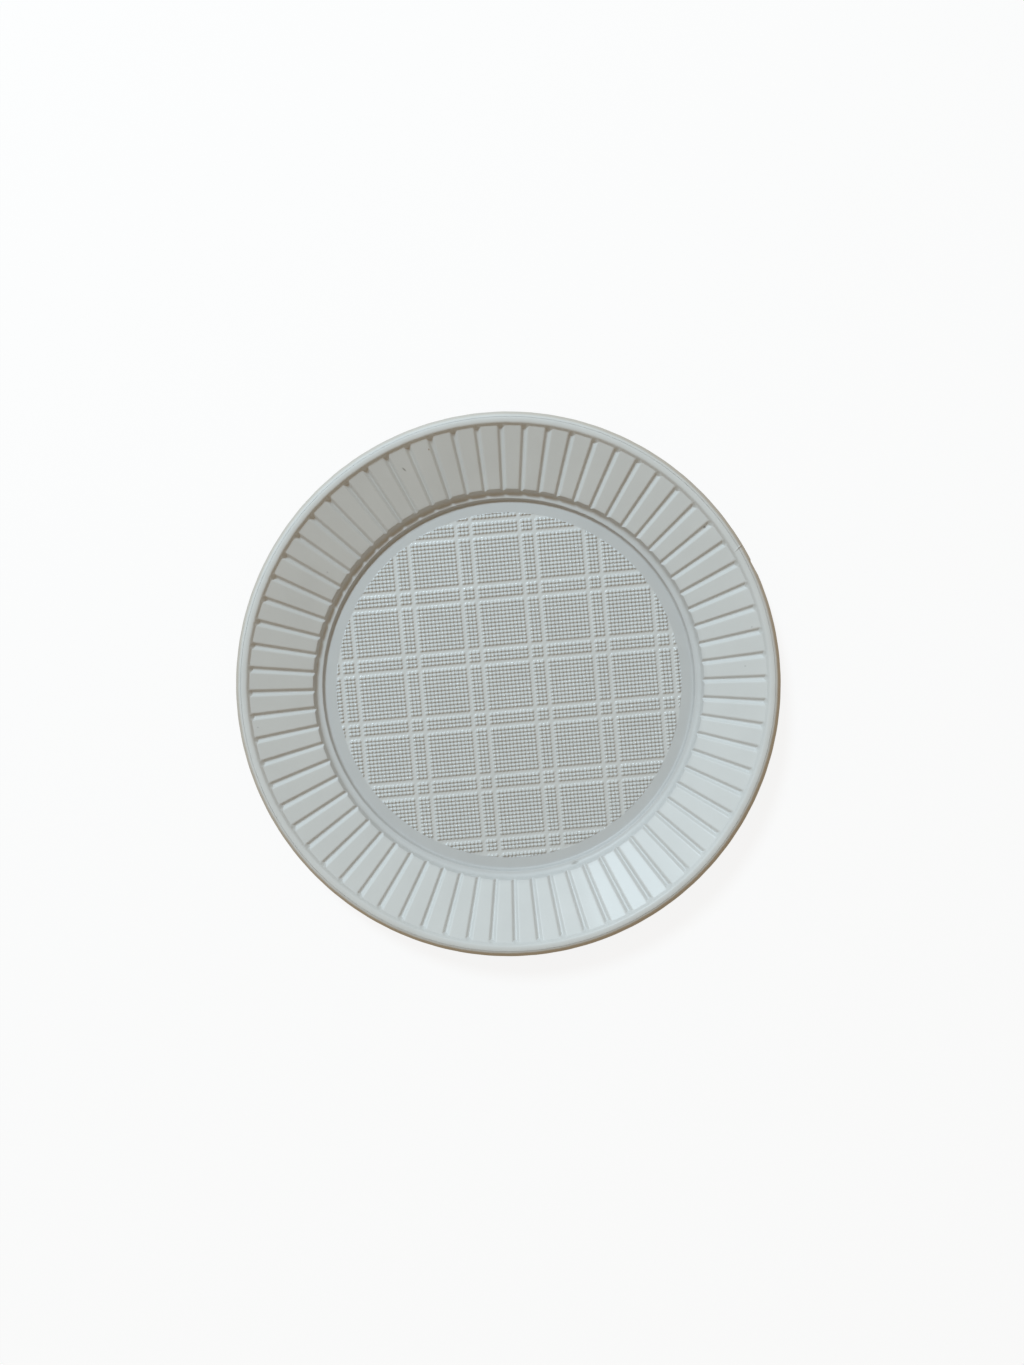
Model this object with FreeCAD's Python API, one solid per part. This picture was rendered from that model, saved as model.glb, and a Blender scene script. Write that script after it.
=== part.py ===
import FreeCAD, Part
import math
import os

# A round disposable plate, formed in one piece from a thin sheet of polystyrene.
# Millimetres, +Z up. The origin is the centre of the plate on the plane it rests on,
# and the checked pattern of its floor runs along X and Y.
#
# Round the axis the plate is built of narrow flat facets, one for each pad of its wall. The
# true section lies in the middle of a facet, and the corners between two facets stand out
# by 0.12 mm at the rim. Its round bends are made of short straight runs in the same way.

# The sheet and the outline
plate_diameter = 220.0      # over the trimmed edge
sheet = 0.35                # thickness of the formed sheet

# The smooth ring round the checked floor, then the lower step and the ledge above it
ring_width = 4.72
lower_step_run = 0.6
lower_step_rise = 2.05
ledge_width = 2.18
ledge_rise = 0.32

# The upper step and the sloping wall above it, up to the floor of the wall's grooves
upper_step_run = 0.56
upper_step_rise = 1.95
step_bend = 1.2             # reach of the round bend at the foot of the upper step
wall_run = 23.04
wall_slope = 28.0           # degrees off level

# The rounded rim: a steep flank, two gentle slopes that meet on the crest, and a skirt
flank_run = 1.25
flank_rise = 2.75
crest_inner_run = 1.4
crest_rise = 0.35
crest_outer_run = 1.75
crest_fall = 0.31
skirt_run = 2.4
skirt_slope = 66.0          # degrees off level
inner_bend = 0.5            # reach of the bend between the flank and the crest
outer_bend = 1.0            # and of the one between the crest and the skirt

# The raised pads round the wall, and the narrow grooves between them
pad_count = 68
pad_height = 1.0
pad_draft = 45.0            # slope of a pad's sides, degrees off the wall's normal
pad_margin = 0.12           # bare wall left below a pad
groove_edge = 0.724         # half of a groove's width between two pads' tops, less what spreads
groove_spread = 0.0067      # what that half spreads for each millimetre further out
first_groove = 1.76         # place of one groove, degrees from +X

# The checked floor: a grid of dots in twelves and threes, with a channel for each row left out
dot_pitch = 1.551
wide_dots = 12
narrow_dots = 3
check_height = 0.5
check_draft = 45.0          # slope of a check's sides, degrees off upright
channel_floor = 0.95        # flat width of a channel between two checks

# Depth to which a raised form is sunk into the sheet that carries it, to join it
embed = 0.1

pad_pitch = 360 / pad_count
centre = FreeCAD.Vector(0, 0, 0)
upright = FreeCAD.Vector(0, 0, 1)
across = FreeCAD.Vector(0, 1, 0)


# The section of the bare sheet, from the axis to the trimmed edge. The upper side is laid out
# from the outside inwards, and the lower side lies one sheet thickness below it everywhere.

def point(radius, height):
    return FreeCAD.Vector(radius, 0, height)


def heading(degrees):
    """Unit vector in the section, at an angle above the outward level direction."""
    angle = math.radians(degrees)
    return point(math.cos(angle), math.sin(angle))


rim_radius = plate_diameter / 2
crest_outside = rim_radius - skirt_run
crest_middle = crest_outside - crest_outer_run
crest_inside = crest_middle - crest_inner_run
wall_end_radius = crest_inside - flank_run
wall_foot_radius = wall_end_radius - wall_run
ledge_outside = wall_foot_radius - upper_step_run
ledge_inside = ledge_outside - ledge_width
ring_outside = ledge_inside - lower_step_run
floor_radius = ring_outside - ring_width

floor_height = sheet
ledge_inside_height = floor_height + lower_step_rise
ledge_outside_height = ledge_inside_height + ledge_rise
wall_foot = point(wall_foot_radius, ledge_outside_height + upper_step_rise)
wall_end = wall_foot + point(wall_run, wall_run * math.tan(math.radians(wall_slope)))
crest_inside_height = wall_end.z + flank_rise
crest_height = crest_inside_height + crest_rise
crest_outside_height = crest_height - crest_fall
edge_height = crest_outside_height - skirt_run * math.tan(math.radians(skirt_slope))

# Each corner has the reach of its bend and the number of straight runs that make it up.
section = [
    (point(0, floor_height), 0, 0),
    (point(ring_outside, floor_height), 0, 0),
    (point(ledge_inside, ledge_inside_height), 0, 0),
    (point(ledge_outside, ledge_outside_height), step_bend, 2),
    (wall_foot, 0, 0),
    (wall_end, 0, 0),
    (point(crest_inside, crest_inside_height), inner_bend, 1),
    (point(crest_middle, crest_height), 0, 0),
    (point(crest_outside, crest_outside_height), outer_bend, 2),
    (point(rim_radius, edge_height), 0, 0),
]


def section_line(drop):
    """Corners of the section, moved below the upper side by a drop and mitred, with their bends.

    A bend counts its start, its corner and its end by the squares of the shares and twice
    their product, and the corner also by the cosine of half the turn, as on a circle.
    """
    corners = [corner for corner, reach, runs in section]
    ways = [(after - before).normalize() for before, after in zip(corners, corners[1:])]
    line = []
    for (corner, reach, runs), before, after in zip(section[1:], ways, ways[1:]):
        spread = 1 + before.dot(after)
        moved = corner - point(-before.z - after.z, before.x + after.x) * (drop / spread)
        if runs == 0:
            line.append(moved)
            continue
        reach += drop * (before.x * after.z - before.z * after.x) / spread
        weight = math.sqrt(spread / 2)
        for number in range(runs + 1):
            share = number / runs
            first, middle, last = (1 - share) ** 2, 2 * share * (1 - share) * weight, share**2
            place = moved * (first + middle + last) - before * (reach * first) + after * (reach * last)
            line.append(place * (1 / (first + middle + last)))
    line.append(corners[-1] - point(-ways[-1].z, ways[-1].x) * drop)
    return line


# Solids with flat faces

def facet_ring(place):
    """Corners of the ring that a point of the section makes round the axis, one at each groove."""
    radius = place.x / math.cos(math.radians(pad_pitch / 2))
    corners = []
    for number in range(pad_count):
        angle = math.radians(first_groove + number * pad_pitch)
        corners.append(FreeCAD.Vector(radius * math.cos(angle), radius * math.sin(angle), place.z))
    return corners


def flat_sided(outlines):
    """A solid through a row of outlines with as many corners each, closed by the first and the last."""
    faces = [outlines[0], outlines[-1]]
    for low, high in zip(outlines, outlines[1:]):
        for index in range(len(low)):
            after = (index + 1) % len(low)
            faces.append([low[index], low[after], high[after], high[index]])
    shell = Part.Shell([Part.Face(Part.makePolygon(corners + corners[:1])) for corners in faces])
    solid = Part.Solid(shell)
    if solid.Volume < 0:
        solid.reverse()
    return solid


def bare_sheet():
    """The plate without its pads and checks, from its floor out over the rim and back beneath."""
    corners = section_line(0) + section_line(sheet)[::-1]
    return flat_sided([facet_ring(corner) for corner in corners])


# The pads on the wall

def pad_outline(level, inset, past):
    """Corners of a pad's outline at a level above the wall, with its sides and foot moved inwards.

    A side's distance from the pad's middle is half the pitch less half the groove, and it grows
    with depth below the top by the draft. The outer end lies past the flank's upper side, square
    to the flank, and leans with it.
    """
    along = heading(wall_slope)
    normal = heading(wall_slope + 90)
    slant = math.tan(math.radians(pad_draft))
    grow = (pad_height - level) * slant - inset
    turn = math.atan2(flank_rise, flank_run) - math.radians(wall_slope)
    start = pad_margin + pad_height * slant - grow
    end = (wall_end - wall_foot).Length + past / math.sin(turn) + level / math.tan(turn)
    origin = wall_foot + normal * level
    places = [origin + along * start, origin + along * end]
    halves = []
    for place in places:
        half_pitch = place.x * math.tan(math.radians(pad_pitch / 2))
        halves.append(half_pitch - groove_spread * place.x - groove_edge + grow)
    left = [place + across * half for place, half in zip(places, halves)]
    right = [place - across * half for place, half in zip(places, halves)]
    return left + right[::-1]


def pads(bottom, top, inset, past):
    """One drafted block for each pad, from one level above the wall to another."""
    first = flat_sided([pad_outline(bottom, inset, past), pad_outline(top, inset, past)])
    copies = []
    for number in range(pad_count):
        copy = first.copy()
        copy.rotate(centre, upright, first_groove + (number + 0.5) * pad_pitch)
        copies.append(copy)
    return copies


# The checked floor

def channel_places():
    """Middles of the channels on one side of the centre, out to the edge of the floor."""
    period = (wide_dots + narrow_dots + 2) * dot_pitch
    to_channel = (wide_dots + 1) / 2 * dot_pitch
    places = []
    repeat = 0
    while repeat * period - to_channel < floor_radius:
        places.append(repeat * period - to_channel)
        places.append(repeat * period + to_channel)
        repeat += 1
    return [place for place in places if 0 < place < floor_radius]


def channel_bar(place, bottom, top, inset):
    """A long bar that cuts one channel, along Y, from one level to another above the floor."""
    slant = math.tan(math.radians(check_draft))
    reach = floor_radius + check_height + inset
    outlines = []
    for level in (bottom, top):
        half = channel_floor / 2 + level * slant + inset
        height = floor_height + level
        outlines.append([
            FreeCAD.Vector(place - half, -reach, height),
            FreeCAD.Vector(place + half, -reach, height),
            FreeCAD.Vector(place + half, reach, height),
            FreeCAD.Vector(place - half, reach, height),
        ])
    return flat_sided(outlines)


def checks(bottom, top, inset):
    """The checks, from one level above the floor to another: a drafted disc cut by the channels."""
    slant = math.tan(math.radians(check_draft))
    edges = [point(floor_radius - level * slant - inset, floor_height + level) for level in (bottom, top)]
    disc = flat_sided([facet_ring(edge) for edge in edges])
    bars = []
    for place in channel_places():
        for side in (-place, place):
            bar = channel_bar(side, bottom - embed, top + embed, inset)
            crossing = bar.copy()
            crossing.rotate(centre, upright, 90)
            bars += [bar, crossing]
    return disc.cut(bars).Solids


# The plate. The underside of every raised form is the same form, one sheet thickness further in.
# A pad ends inside the flank's sheet, and the hollow below it runs out under the rim.

pad_inset = sheet / math.cos(math.radians(pad_draft))
check_inset = sheet / math.cos(math.radians(check_draft))
raised_forms = pads(-embed, pad_height, 0, sheet / 2)
raised_forms += checks(-embed, check_height, 0)
hollow_forms = pads(-sheet - embed, pad_height - sheet, pad_inset, 2 * sheet)
hollow_forms += checks(-sheet - embed, check_height - sheet, check_inset)
plate = bare_sheet().fuse(raised_forms).cut(hollow_forms)

os.makedirs("parts", exist_ok=True)
plate.exportStep("parts/plate.step")
box = plate.BoundBox
print("plate: valid", plate.isValid(), "solids", len(plate.Solids), "volume mm3", round(plate.Volume, 1))
print("size", round(box.XLength, 3), round(box.YLength, 3), round(box.ZLength, 3), "lowest", round(box.ZMin, 4))
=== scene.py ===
import bpy
import math
import numpy as np
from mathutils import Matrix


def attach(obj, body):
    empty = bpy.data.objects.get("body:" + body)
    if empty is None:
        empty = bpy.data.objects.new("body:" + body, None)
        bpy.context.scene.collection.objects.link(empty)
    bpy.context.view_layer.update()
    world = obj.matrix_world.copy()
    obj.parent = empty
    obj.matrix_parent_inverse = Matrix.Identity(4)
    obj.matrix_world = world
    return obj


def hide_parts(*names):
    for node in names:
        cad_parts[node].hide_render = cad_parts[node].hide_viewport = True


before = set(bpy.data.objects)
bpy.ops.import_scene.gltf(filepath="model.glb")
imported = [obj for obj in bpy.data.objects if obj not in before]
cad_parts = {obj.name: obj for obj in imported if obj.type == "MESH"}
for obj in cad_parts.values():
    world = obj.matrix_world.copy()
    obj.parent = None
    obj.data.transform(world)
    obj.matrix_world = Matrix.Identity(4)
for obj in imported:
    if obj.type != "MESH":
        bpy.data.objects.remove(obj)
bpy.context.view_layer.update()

# The plate is one thin sheet of white polystyrene, heated and drawn down into a mould, then
# trimmed round its edge. Sizes here are millimetres, from the axis and from the plane it rests
# on; the mesh is scaled to metres when it is made. First comes the section of the sheet.
sheet = 0.35
edge_radius = 110.0
ring_outside = 76.82         # outer edge of the smooth flat ring
ledge_inside = 77.42
ledge_outside = 79.6
ledge_inside_height = 2.4
ledge_outside_height = 2.72
step_slope = math.tan(math.radians(74))
wall_slope = math.radians(28)
groove_foot = 80.16          # where the floor of a groove between two pads meets the step
groove_foot_height = 4.67
wall_top = 103.5             # where the tops of the pads meet the rim's inner flank
flank_slope = math.tan(math.radians(57))
flank_run = 0.4              # lowest part of the flank, which stands steeper behind a groove
crest_inside = 104.35        # the three corners that the rim's arch rounds off
crest_middle = 105.85
crest_outside = 107.5
crest_rise = 0.35            # of the arch's middle above its inner corner
crest_fall = 0.31            # and of its outer corner below the middle
skirt_slope = math.tan(math.radians(66))

# The wall carries 68 raised pads with narrow grooves between them. The pads' tops run straight
# into the rim's flank, and the grooves stop a little short of it.
pad_count = 68
pad_height = 1.0
first_groove = math.radians(1.8)
groove_spread = 0.0067       # of half a groove's width, for each millimetre further out
groove_floor = -0.33         # half of the floor's width, less the part that spreads
groove_short = 0.3           # how far a groove stops short of the wall's top
pad_corner = 0.5


def side_inset(radius, lean, shift, drop):
    """Distance from the foot of a pad's side to a column of points.

    The column lies off the middle of its groove by the lean times the radius plus the shift,
    and half the groove's floor is its spread times the radius plus a fixed part.
    On the underside both feet stand nearer to the pad, by the drop times half the turn's tangent.
    """
    off_middle = np.abs(lean * radius + shift)
    return off_middle - (radius * groove_spread + groove_floor) - drop * math.tan(math.pi / 8)


def corner_cut(inset, corner):
    """How far a rounded corner stands back at an inset: a radius less the root of its square
    minus the square of what is left to the corner's middle."""
    left = np.clip(corner - inset, 0, corner)
    return corner - np.sqrt(corner**2 - left**2)


def section_corners(lean, shift, drop):
    """Corners of the section, from the smooth ring out to the trimmed edge, for each column.

    The step's face and the pad's top are straight lines, and their meeting point divides the
    height between them by the difference of the two slopes. The lower side is the same line
    moved square to itself by the drop and mitred at each corner.
    """
    upright = 1 / math.cos(wall_slope)
    incline = math.tan(wall_slope)
    rise = np.clip(side_inset(groove_foot, lean, shift, drop), 0, pad_height) * upright
    to_meeting = rise + groove_foot_height - ledge_outside_height - (groove_foot - ledge_outside) * incline
    face_top = ledge_outside + to_meeting / (step_slope - incline)
    end_inset = side_inset(wall_top, lean, shift, drop)
    end_rise = np.clip(end_inset, 0, pad_height)
    end = wall_top - groove_short * (1 - end_rise / pad_height)
    end = end - corner_cut(end_inset - pad_height, pad_corner)
    top = groove_foot_height + (wall_top - groove_foot) * incline + pad_height * upright
    crest = top + (crest_inside - wall_top) * flank_slope + crest_rise
    edge = crest - crest_fall - (edge_radius - crest_outside) * skirt_slope
    same = np.ones_like(lean)
    radius = np.stack([
        same * floor_radius, same * ring_outside, same * ledge_inside, same * ledge_outside,
        face_top, end, same * (wall_top + flank_run), same * crest_inside,
        same * crest_middle, same * crest_outside, same * edge_radius], axis=1)
    height = np.stack([
        same * sheet, same * sheet, same * ledge_inside_height, same * ledge_outside_height,
        ledge_outside_height + (face_top - ledge_outside) * step_slope,
        groove_foot_height + (end - groove_foot) * incline + end_rise * upright,
        same * (top + flank_run * flank_slope), same * (crest - crest_rise), same * crest,
        same * (crest - crest_fall), same * edge], axis=1)
    corners = np.stack([radius, height], axis=2)
    run = np.diff(corners, axis=1)
    run /= np.linalg.norm(run, axis=2)[..., None]
    normal = np.stack([-run[..., 1], run[..., 0]], axis=2)
    before, after = normal[:, :-1], normal[:, 1:]
    mitre = (before + after) / (1 + (before * after).sum(axis=2))[..., None]
    square = np.concatenate([normal[:, :1], mitre, normal[:, -1:]], axis=1)
    return corners - square * drop


def rounded(corners, reach, steps):
    """Points of a round bend at each inner corner of a line.

    It is the circle's weighted curve: the start, the corner and the end count by the squares
    of the shares and twice their product, and the corner's weight is the cosine of half the
    turn. Start and end lie at the bend's reach before and behind the corner.
    """
    before = corners[:, 1:-1] - corners[:, :-2]
    after = corners[:, 2:] - corners[:, 1:-1]
    before /= np.linalg.norm(before, axis=2)[..., None]
    after /= np.linalg.norm(after, axis=2)[..., None]
    middle = corners[:, 1:-1]
    weight = np.sqrt((1 + (before * after).sum(axis=2)) / 2)[:, :, None, None]
    reach = np.asarray(reach)[None, :, None]
    share = np.linspace(0, 1, steps)[None, None, :, None]
    start = (middle - before * reach)[:, :, None]
    end = (middle + after * reach)[:, :, None]
    corner_share = 2 * share * (1 - share) * weight
    total = (1 - share) ** 2 + corner_share + share**2
    bend = (start * (1 - share) ** 2 + middle[:, :, None] * corner_share + end * share**2) / total
    return bend.reshape(len(corners), -1, 2)


def sheet_side(groove, lean, shift, drop, reach, arch_reach, steps, arch_steps):
    """One side of the sheet from the checked floor to the trimmed edge, as rows of points.

    Each column has the bearing of its groove plus the angle whose tangent is the lean plus
    the shift over the radius, so that columns follow the straight sides of the pads.
    """
    corners = section_corners(lean, shift, drop)
    small = rounded(corners[:, :8], reach, steps)
    arch = rounded(corners[:, 6:], arch_reach, arch_steps)
    line = np.concatenate([corners[:, :1], small, arch, corners[:, -1:]], axis=1)
    radius, height = line[..., 0].T, line[..., 1].T
    bearing = groove + np.arctan(lean + shift / np.clip(radius, ledge_outside, wall_top))
    return radius, bearing, height


# The crack, the nick and the dent need columns of their own. They lie on pads and keep one
# bearing, and the other columns stand at the feet, sides and tops of the pads.
crack_bearing = math.radians(25.6)
dent_bearing = math.radians(-74.65)
nick_bearing = math.radians(21.95)
floor_radius = 72.1


def wall_columns(insets, drop):
    """Groove bearing, lean and shift of each column, in order round the plate."""
    half = np.array(insets) + drop * math.tan(math.pi / 8)
    lean = np.concatenate([-np.ones(len(half)), np.ones(len(half))]) * groove_spread
    shift = np.concatenate([-groove_floor - half, half + groove_floor])
    if drop == 0:
        lean = np.append(lean, 0)
        shift = np.append(shift, 0)
    groove = first_groove + np.arange(pad_count)[:, None] * math.tau / pad_count
    groove = np.broadcast_to(groove, (pad_count, len(lean)))
    lean = np.broadcast_to(lean, groove.shape)
    shift = np.broadcast_to(shift, groove.shape)
    extra = np.concatenate([
        crack_bearing + np.radians([-0.7, -0.35, -0.16, -0.07, 0, 0.07, 0.16, 0.35, 0.7]),
        dent_bearing + np.radians(np.arange(-1.2, 0.85, 0.25)),
        nick_bearing + np.radians([0]),
    ]) % math.tau
    nearest = first_groove + np.round((extra - first_groove) * pad_count / math.tau) * math.tau / pad_count
    groove = np.concatenate([groove.ravel(), nearest])
    lean = np.concatenate([lean.ravel(), np.tan(extra - nearest)])
    shift = np.concatenate([shift.ravel(), np.zeros(len(extra))])
    order = np.argsort((groove + np.arctan(lean + shift / 90)) % math.tau)
    return groove[order], lean[order], shift[order]


upper_radius, upper_bearing, upper_height = sheet_side(
    *wall_columns([0.0, 0.3, 0.8, 1.12, 1.6], 0), 0,
    [0.7, 0.3, 1.2, 0.3, 0.2, 0.1], [0.5, 0.75, 1.0], 4, 5)

# The plate is worn. The crack runs over the crest of the rim and has one lip raised. The dent is
# pressed into the ledge, and the nick is broken out of the trimmed edge.
crack_radius = 107.2
crack_reach = 1.8
crack_depth = 0.1
crack_width = 0.14
lip_height = 0.12
lip_place = 0.3
lip_width = 0.25
dent_radius = 78.8
dent_depth = 0.25
nick_depth = 0.35


def bump(distance, width):
    """A smooth bump: e to the power of less the square of the distance over the width."""
    return np.exp(-((distance / width) ** 2))


beside_crack = (upper_bearing - crack_bearing) * upper_radius
on_crack = bump(upper_radius - crack_radius, crack_reach)
upper_height = upper_height + lip_height * on_crack * bump(beside_crack - lip_place, lip_width)
upper_height = upper_height - crack_depth * on_crack * bump(beside_crack, crack_width)
beside_dent = (upper_bearing % math.tau - dent_bearing % math.tau) * upper_radius
upper_height = upper_height - dent_depth * bump(beside_dent, 1.3) * bump(upper_radius - dent_radius, 0.6)
beside_nick = (upper_bearing - nick_bearing) * upper_radius
at_edge = upper_radius > edge_radius - 0.1
upper_radius = upper_radius - nick_depth * bump(beside_nick, 0.5) * at_edge
lower_radius, lower_bearing, lower_height = sheet_side(
    *wall_columns([0.0, 1.0], sheet), sheet,
    [0.96, 0.1, 1.43, 0.15, 0.27, 0.1], [0.38, 0.68, 0.83], 3, 3)


# The flat middle is a slightly sunk disc with blocks of small domed dots: twelve and three in
# turn each way, and one row left out between two blocks as a channel. The disc's circle cuts
# the dots short. They are pressed by the mould, so on the underside each block is a hollow.
dot_pitch = 1.551
dot_drop = 0.4               # of the dome from its middle to the low point between two dots
dot_slope = 1.2             # of the shading on a dome's side, steeper than its form
block_height = 0.75
disc_height = 0.23
hollow_height = 0.13


def dot_lines():
    """Grid lines across the disc, how far the dots' profile drops at each, and its slope there.

    A dot has a line over its middle and one on each side, a third of the pitch away. Beside a
    channel one more line lies at the foot of the block's slope.
    """
    number = np.arange(-48, 48) + 0.5
    place = np.abs(number) % 17
    left_out = np.isin(place, (6.5, 10.5))
    middle = number[~left_out] * dot_pitch
    third = dot_pitch / 3
    foot = third + 0.52
    channel = number[left_out] * dot_pitch
    outer_foot = dot_pitch - foot
    lines = np.concatenate([
        middle, middle - third, middle + third, channel - outer_foot, channel + outer_foot])
    drops = np.concatenate([
        np.zeros(len(middle)), np.full(2 * len(middle), 0.75 * dot_drop), np.full(2 * len(channel), 9.0)])
    slopes = np.concatenate([
        np.zeros(len(middle)), np.full(len(middle), dot_slope), np.full(len(middle), -dot_slope),
        np.zeros(2 * len(channel))])
    order = np.argsort(lines)
    return lines[order], drops[order], slopes[order], block_height


def hollow_lines():
    """Grid lines across the underside of the disc: the foot and the top edge of each hollow."""
    number = np.arange(-50, 50) + 0.5
    place = np.abs(number) % 17
    channel = number[np.isin(place, (6.5, 10.5))] * dot_pitch
    foot = dot_pitch - (dot_pitch / 3 + 0.52) + sheet * math.tan(math.pi / 8)
    lines = np.concatenate([
        channel - foot - hollow_height, channel - foot, channel + foot, channel + foot + hollow_height])
    drops = np.repeat([0.0, 9.0, 9.0, 0.0], len(channel))
    order = np.argsort(lines)
    return lines[order], drops[order], np.zeros(len(lines)), hollow_height


def cut_disc(lines, drops, slopes, full_height, radius, base):
    """Points and squares of a grid inside a circle, its outer points in order, and the slopes.

    Its height is the full height less the drops of both profiles, but no more than the
    distance in from the circle and never below the base.
    """
    x, y = np.meshgrid(lines, lines, indexing="ij")
    far = np.hypot(x, y)
    height = full_height - np.add.outer(drops, drops)
    domed = (height > 0) & (height < radius - far)
    height = np.clip(np.minimum(height, radius - far), 0, None)
    inside = far < radius - 0.03
    square = inside[:-1, :-1] & inside[1:, :-1] & inside[:-1, 1:] & inside[1:, 1:]
    padded = np.pad(square, 1).astype(int)
    touching = padded[:-1, :-1] + padded[1:, :-1] + padded[:-1, 1:] + padded[1:, 1:]
    used = touching > 0
    number = np.cumsum(used).reshape(used.shape) - 1
    squares = np.stack([number[:-1, :-1], number[1:, :-1], number[1:, 1:], number[:-1, 1:]], axis=2)
    squares = squares[square]
    outer = used & (touching < 4)
    outer_bearing = np.arctan2(y[outer], x[outer]) % math.tau
    order = np.argsort(outer_bearing)
    points = np.stack([x[used], y[used], base + height[used]], axis=1)
    slope_x, slope_y = np.meshgrid(slopes, slopes, indexing="ij")
    steepness = np.stack([slope_x[used], slope_y[used]], axis=1) * domed[used][:, None]
    return points, squares, number[outer][order], outer_bearing[order], steepness


# The sheet is closed to one shell: the two sides, the dots and the hollows, each with a circle
# of points round it, are joined by strips that run round the plate.

def on_circle(radius, bearing, height):
    """Points at a radius and a bearing: the radius times the cosine and the sine."""
    radius, bearing, height = np.broadcast_arrays(radius, bearing, height)
    return np.stack([radius * np.cos(bearing), radius * np.sin(bearing), height], axis=-1).reshape(-1, 3)


def woven(rows, columns):
    """Squares of a grid of rows from the inside out that closes round the plate."""
    number = np.arange(rows * columns).reshape(rows, columns)
    after = np.roll(number, -1, axis=1)
    return np.stack([number[:-1], number[1:], after[1:], after[:-1]], axis=2).reshape(-1, 4)


def strip(inner, inner_bearing, outer, outer_bearing):
    """Triangles between two rows of points that both close round the plate.

    Going round by bearing, each point makes a triangle with the point before it in its own
    row and the latest point of the other row.
    """
    inner = inner[np.argsort(inner_bearing % math.tau)]
    outer = outer[np.argsort(outer_bearing % math.tau)]
    bearing = np.concatenate([np.sort(inner_bearing % math.tau), np.sort(outer_bearing % math.tau)])
    from_inner = np.argsort(bearing, kind="stable") < len(inner)
    at_inner = (np.cumsum(from_inner) - 1) % len(inner)
    at_outer = (np.cumsum(~from_inner) - 1) % len(outer)
    inner_steps = np.stack([inner[at_inner - 1], outer[at_outer], inner[at_inner]], axis=1)[from_inner]
    outer_steps = np.stack([outer[at_outer - 1], outer[at_outer], inner[at_inner]], axis=1)[~from_inner]
    return np.concatenate([inner_steps, outer_steps])


dot_points, dot_squares, dot_rim, dot_rim_bearing, dot_steepness = cut_disc(
    *dot_lines(), floor_radius, disc_height)
hollow_radius = floor_radius - sheet * math.tan(math.pi / 8)
hollow_points, hollow_squares, hollow_rim, hollow_rim_bearing, _ = cut_disc(
    *hollow_lines(), hollow_radius, 0)

points, squares, triangles = [], [], []
count = 0


def add(part_points, part_squares):
    """Adds points and squares to the shell and gives the number of the first point."""
    global count
    first = count
    points.append(part_points)
    squares.append(part_squares + first)
    count += len(part_points)
    return first


upper = add(on_circle(upper_radius, upper_bearing, upper_height), woven(*upper_radius.shape))
lower = add(on_circle(lower_radius, lower_bearing, lower_height), woven(*lower_radius.shape)[:, ::-1])
dots = add(dot_points, dot_squares)
hollows = add(hollow_points, hollow_squares[:, ::-1])
for first, rim, rim_bearing, radius, height, side, side_bearing, turned in (
        (dots, dot_rim, dot_rim_bearing, floor_radius - 0.1, disc_height, upper, upper_bearing[0], 1),
        (hollows, hollow_rim, hollow_rim_bearing, hollow_radius, 0, lower, lower_bearing[0], -1)):
    ring = add(on_circle(radius, rim_bearing, height), np.zeros((0, 4), int))
    ring_points = ring + np.arange(len(rim))
    fan = np.stack([first + rim, ring_points, np.roll(ring_points, -1), np.roll(first + rim, -1)], axis=1)
    squares.append(fan[:, ::turned])
    side_points = side + np.arange(len(side_bearing))
    triangles.append(strip(ring_points, rim_bearing, side_points, side_bearing)[:, ::turned])
upper_edge = upper + (len(upper_radius) - 1) * upper_radius.shape[1] + np.arange(upper_radius.shape[1])
lower_edge = lower + (len(lower_radius) - 1) * lower_radius.shape[1] + np.arange(lower_radius.shape[1])
triangles.append(strip(upper_edge, upper_bearing[-1], lower_edge, lower_bearing[-1]))
points = np.concatenate(points)
squares = np.concatenate(squares)
triangles = np.concatenate(triangles)

plate_mesh = bpy.data.meshes.new("plate_sheet")
plate_mesh.from_pydata((points * 0.001).tolist(), [], squares.tolist() + triangles.tolist())
plate_mesh.polygons.foreach_set("use_smooth", np.ones(len(plate_mesh.polygons), bool))
corner_sets = np.concatenate([squares[:, :3], squares[:, [0, 2, 3]], triangles])
first_point = points[corner_sets[:, 0]]
facing = np.cross(points[corner_sets[:, 1]] - first_point, points[corner_sets[:, 2]] - first_point)
normals = np.zeros_like(points)
for corner in range(3):
    np.add.at(normals, corner_sets[:, corner], facing)
normals /= np.linalg.norm(normals, axis=1)[:, None]
# The normals are means over the faces. On the sides of the domes they are given, and lean
# more than the form does, so the dots look deeper than their mesh is.
on_dome = np.flatnonzero(np.any(dot_steepness != 0, axis=1))
dome_normals = np.column_stack([-dot_steepness[on_dome], np.ones(len(on_dome))])
normals[dots + on_dome] = dome_normals / np.linalg.norm(dome_normals, axis=1)[:, None]
plate_mesh.normals_split_custom_set_from_vertices(normals.tolist())
plate_sheet = bpy.data.objects.new("plate_sheet", plate_mesh)
bpy.context.scene.collection.objects.link(plate_sheet)

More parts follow.
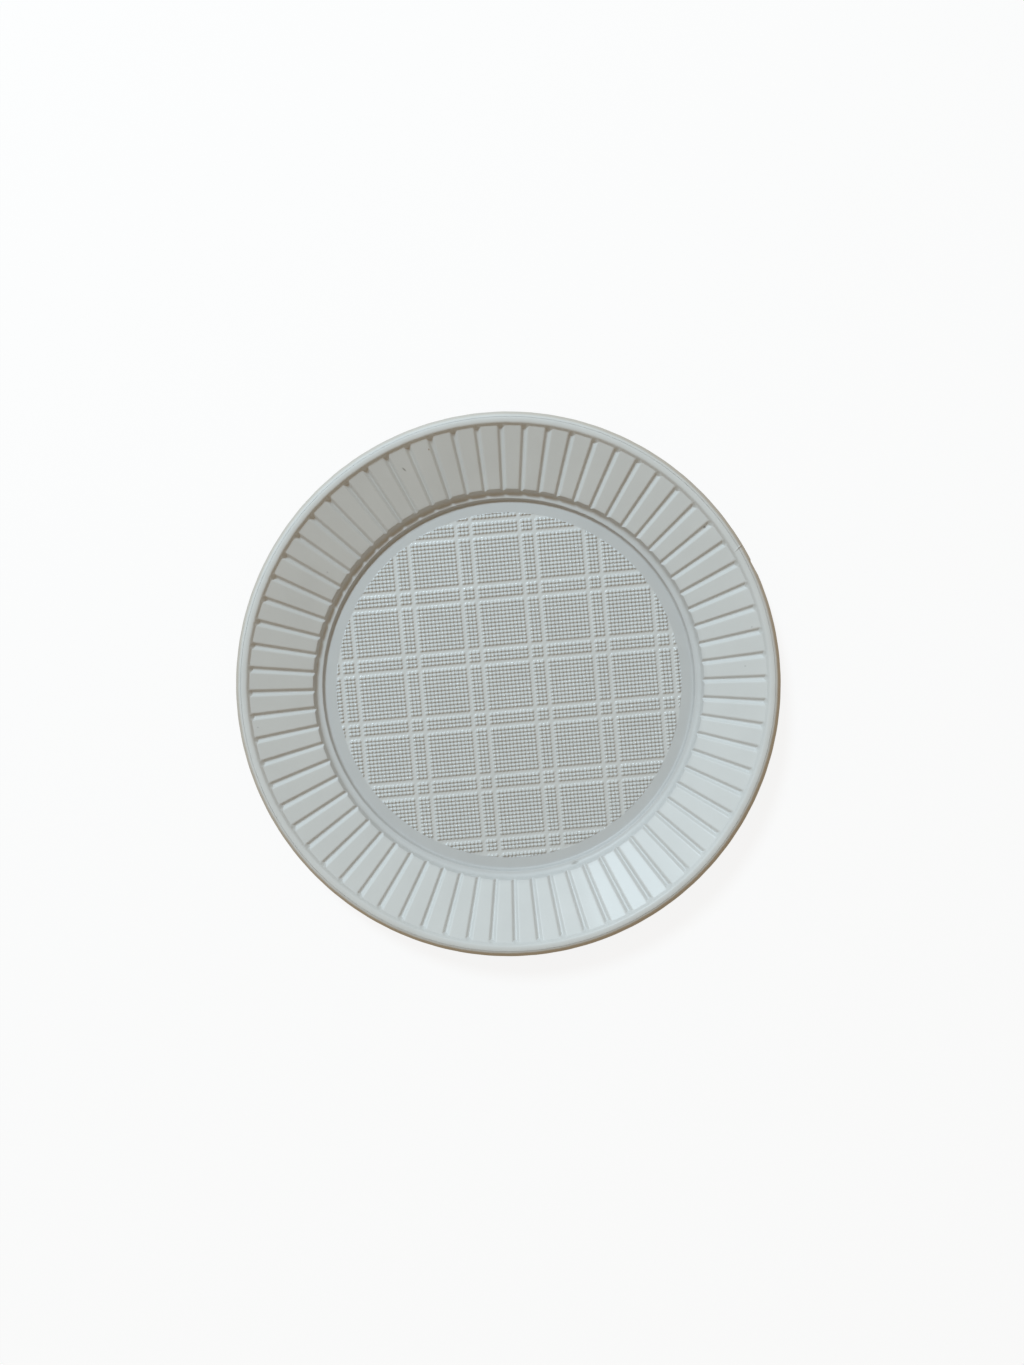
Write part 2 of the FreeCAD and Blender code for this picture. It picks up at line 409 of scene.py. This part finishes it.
# The finish is white polystyrene with a satin surface under a thin gloss, strongest on the dots.
# The sheet lets some light through, and its colour is painted to stand for this: it is painted
# greyer where it lies on the table than on the wall and the rim, a painted shade, and painted
# lighter again on the dots, a painted highlight. It has a hairline crack across the rim, a dark
# oval of painted shade in the dent, and a few small specks and scratches.
polystyrene = bpy.data.materials.new("white_polystyrene")
polystyrene.use_nodes = True
nodes, links = polystyrene.node_tree.nodes, polystyrene.node_tree.links
shader = nodes["Principled BSDF"]
shader.inputs["Roughness"].default_value = 0.5
shader.inputs["Specular IOR Level"].default_value = 0.3
shader.inputs["Coat Roughness"].default_value = 0.16
place = nodes.new("ShaderNodeTexCoord")
level = nodes.new("ShaderNodeVectorMath")
level.operation = "MULTIPLY"
level.inputs[1].default_value = (1, 1, 0)
from_middle = nodes.new("ShaderNodeVectorMath")
from_middle.operation = "LENGTH"
# Clear of the table the colour is painted lighter than where the sheet lies on it: painted light standing
# in for the light that the thin sheet lets through.
clear_of_table_painted_light = nodes.new("ShaderNodeMapRange")
clear_of_table_painted_light.inputs["From Min"].default_value = 0.0765
clear_of_table_painted_light.inputs["From Max"].default_value = 0.082
tone_with_painted_light = nodes.new("ShaderNodeMix")
tone_with_painted_light.data_type = "RGBA"
tone_with_painted_light.inputs["B"].default_value = (0.6, 0.605, 0.6, 1)
# On the dots the colour is painted lighter than on the smooth ring around them, a painted highlight for
# their bright domes; the same mask also raises their gloss.
on_dots = nodes.new("ShaderNodeMapRange")
on_dots.inputs["From Min"].default_value = 0.0723
on_dots.inputs["From Max"].default_value = 0.0717
middle_painted_shade_and_light = nodes.new("ShaderNodeMix")
middle_painted_shade_and_light.data_type = "RGBA"
middle_painted_shade_and_light.inputs["A"].default_value = (0.5, 0.505, 0.505, 1)
middle_painted_shade_and_light.inputs["B"].default_value = (0.58, 0.585, 0.58, 1)
gloss = nodes.new("ShaderNodeMapRange")
gloss.inputs["To Min"].default_value = 0.05
gloss.inputs["To Max"].default_value = 0.5
uneven = nodes.new("ShaderNodeTexNoise")
uneven.inputs["Scale"].default_value = 60.0
uneven.inputs["Detail"].default_value = 3.0
unevenness = nodes.new("ShaderNodeMapRange")
unevenness.inputs["To Min"].default_value = 0.95
unevenness.inputs["To Max"].default_value = 1.05
toned = nodes.new("ShaderNodeVectorMath")
toned.operation = "SCALE"
links.new(place.outputs["Object"], level.inputs[0])
links.new(level.outputs[0], from_middle.inputs[0])
links.new(from_middle.outputs["Value"], clear_of_table_painted_light.inputs["Value"])
links.new(clear_of_table_painted_light.outputs[0], tone_with_painted_light.inputs["Factor"])
links.new(from_middle.outputs["Value"], on_dots.inputs["Value"])
links.new(on_dots.outputs[0], middle_painted_shade_and_light.inputs["Factor"])
links.new(on_dots.outputs[0], gloss.inputs["Value"])
links.new(gloss.outputs[0], shader.inputs["Coat Weight"])
links.new(middle_painted_shade_and_light.outputs["Result"], tone_with_painted_light.inputs["A"])
links.new(place.outputs["Object"], uneven.inputs["Vector"])
links.new(uneven.outputs[0], unevenness.inputs["Value"])
links.new(tone_with_painted_light.outputs["Result"], toned.inputs[0])
links.new(unevenness.outputs[0], toned.inputs["Scale"])
colour = toned.outputs[0]
# Each mark is an oval: bearing, radius, half its length and width, turn off the radial
# direction, how strongly it covers the sheet, and its colour.
for mark_bearing, mark_radius, half_length, half_width, turn, cover, mark_colour in (
        (25.6, 107.1, 2.5, 0.15, 11.7, 0.75, (0.2, 0.17, 0.14, 1)),
        (25.9, 107.1, 2.5, 0.16, 11.7, 0.5, (0.85, 0.86, 0.86, 1)),
        # the dent's dark oval is painted shade in its hollow
        (-74.65, 78.8, 0.45, 1.6, 0, 0.55, (0.25, 0.23, 0.2, 1)),
        (110.6, 96.3, 0.9, 0.3, 25, 0.7, (0.2, 0.19, 0.17, 1)),
        (33.75, 101.0, 0.5, 0.45, 0, 0.7, (0.18, 0.16, 0.14, 1)),
        (103.45, 99.5, 0.35, 0.3, 0, 0.7, (0.3, 0.2, 0.12, 1)),
        (8.35, 100.4, 0.35, 0.3, 0, 0.4, (0.3, 0.3, 0.3, 1)),
        (-0.45, 95.9, 0.35, 0.3, 0, 0.4, (0.3, 0.3, 0.3, 1)),
        (142.85, 87.0, 0.35, 0.3, 0, 0.4, (0.3, 0.3, 0.3, 1)),
        (-175.65, 101.8, 0.35, 0.3, 0, 0.4, (0.3, 0.3, 0.3, 1))):
    on_mark = nodes.new("ShaderNodeMapping")
    on_mark.vector_type = "TEXTURE"
    angle = math.radians(mark_bearing)
    on_mark.inputs["Location"].default_value = (
        mark_radius * 0.001 * math.cos(angle), mark_radius * 0.001 * math.sin(angle), 0)
    on_mark.inputs["Rotation"].default_value = (0, 0, angle + math.radians(turn))
    on_mark.inputs["Scale"].default_value = (half_length * 0.001, half_width * 0.001, 1)
    off_mark = nodes.new("ShaderNodeVectorMath")
    off_mark.operation = "LENGTH"
    covered = nodes.new("ShaderNodeMapRange")
    covered.inputs["From Min"].default_value = 1.3
    covered.inputs["From Max"].default_value = 0.6
    covered.inputs["To Max"].default_value = cover
    marked = nodes.new("ShaderNodeMix")
    marked.data_type = "RGBA"
    marked.inputs["B"].default_value = mark_colour
    links.new(place.outputs["Object"], on_mark.inputs["Vector"])
    links.new(on_mark.outputs[0], off_mark.inputs[0])
    links.new(off_mark.outputs["Value"], covered.inputs["Value"])
    links.new(covered.outputs[0], marked.inputs["Factor"])
    links.new(colour, marked.inputs["A"])
    colour = marked.outputs["Result"]
links.new(colour, shader.inputs["Base Color"])
plate_mesh.materials.append(polystyrene)
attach(plate_sheet, "root")
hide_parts("plate")

# The table top is plain and white. To the camera it is close to white by itself, with a part
# of its brightness from the lamp, which keeps the plate's soft shadow. The light that it throws
# back on the plate is warm.
table_mesh = bpy.data.meshes.new("table_top")
table_half = 2.0
table_drop = -0.00005        # just below the plate, so that the two don't share a plane
table_mesh.from_pydata([
    (-table_half, -table_half, table_drop), (table_half, -table_half, table_drop),
    (table_half, table_half, table_drop), (-table_half, table_half, table_drop)], [], [(0, 1, 2, 3)])
table_top = bpy.data.objects.new("table_top", table_mesh)
bpy.context.scene.collection.objects.link(table_top)
white_table = bpy.data.materials.new("white_table")
white_table.use_nodes = True
nodes, links = white_table.node_tree.nodes, white_table.node_tree.links
nodes.clear()
output = nodes.new("ShaderNodeOutputMaterial")
seen = nodes.new("ShaderNodeLightPath")
lit = nodes.new("ShaderNodeBsdfDiffuse")
lit.inputs["Color"].default_value = (0.8, 0.8, 0.8, 1)
thrown_back = nodes.new("ShaderNodeBsdfDiffuse")
thrown_back.inputs["Color"].default_value = (0.6, 0.46, 0.32, 1)
glow = nodes.new("ShaderNodeEmission")
glow.inputs["Strength"].default_value = 1.0
to_camera = nodes.new("ShaderNodeMixShader")
shaded = nodes.new("ShaderNodeMixShader")
shaded.inputs["Fac"].default_value = 0.88
links.new(lit.outputs[0], shaded.inputs[1])
links.new(glow.outputs[0], shaded.inputs[2])
links.new(seen.outputs["Is Camera Ray"], to_camera.inputs["Fac"])
links.new(thrown_back.outputs[0], to_camera.inputs[1])
links.new(shaded.outputs[0], to_camera.inputs[2])
links.new(to_camera.outputs[0], output.inputs["Surface"])
table_mesh.materials.append(white_table)

# One soft lamp stands high on the upper left of the picture, and warm light from the room
# fills the shadows.
image_right = math.radians(-5.15)
lamp_bearing = image_right + math.radians(122)
lamp_height = math.radians(50)
lamp_distance = 1.8
lamp_data = bpy.data.lights.new("window", "AREA")
lamp_data.shape = "DISK"
lamp_data.size = 0.4
lamp_data.energy = 29.5
lamp_data.color = (0.7, 0.88, 1.0)
lamp = bpy.data.objects.new("window", lamp_data)
bpy.context.scene.collection.objects.link(lamp)
toward_lamp = np.array([
    math.cos(lamp_height) * math.cos(lamp_bearing),
    math.cos(lamp_height) * math.sin(lamp_bearing),
    math.sin(lamp_height)])
lamp.location = toward_lamp * lamp_distance
lamp.rotation_euler = (math.pi / 2 - lamp_height, 0, lamp_bearing + math.pi / 2)
room = bpy.data.worlds.new("room")
bpy.context.scene.world = room
room.use_nodes = True
room_light = room.node_tree.nodes["Background"]
room_light.inputs["Color"].default_value = (1.0, 0.79, 0.54, 1)
room_light.inputs["Strength"].default_value = 0.36

# The camera looks down on the plate, leaning by a little over one degree, from a little right of
# its middle. Its shift keeps the plate where it is in the picture.
camera_data = bpy.data.cameras.new("camera")
camera_data.lens = 27
camera_data.sensor_width = 36
camera_data.shift_x = -0.0106
camera_data.shift_y = 0.01945
camera_data.clip_start = 0.01
camera = bpy.data.objects.new("camera", camera_data)
bpy.context.scene.collection.objects.link(camera)
right = np.array([math.cos(image_right), math.sin(image_right), 0])
edge_plane = upper_height[-1, 0] * 0.001
camera_height = 0.4136       # above the plane of the trimmed edge
camera_right = 0.0073        # of the plate's middle
camera_lean = -0.023         # radians off straight down
camera.location = camera_right * right + np.array([0, 0, edge_plane + camera_height])
camera.rotation_euler = (camera_lean, 0, image_right)
bpy.context.scene.camera = camera
bpy.context.scene.view_settings.view_transform = "Standard"
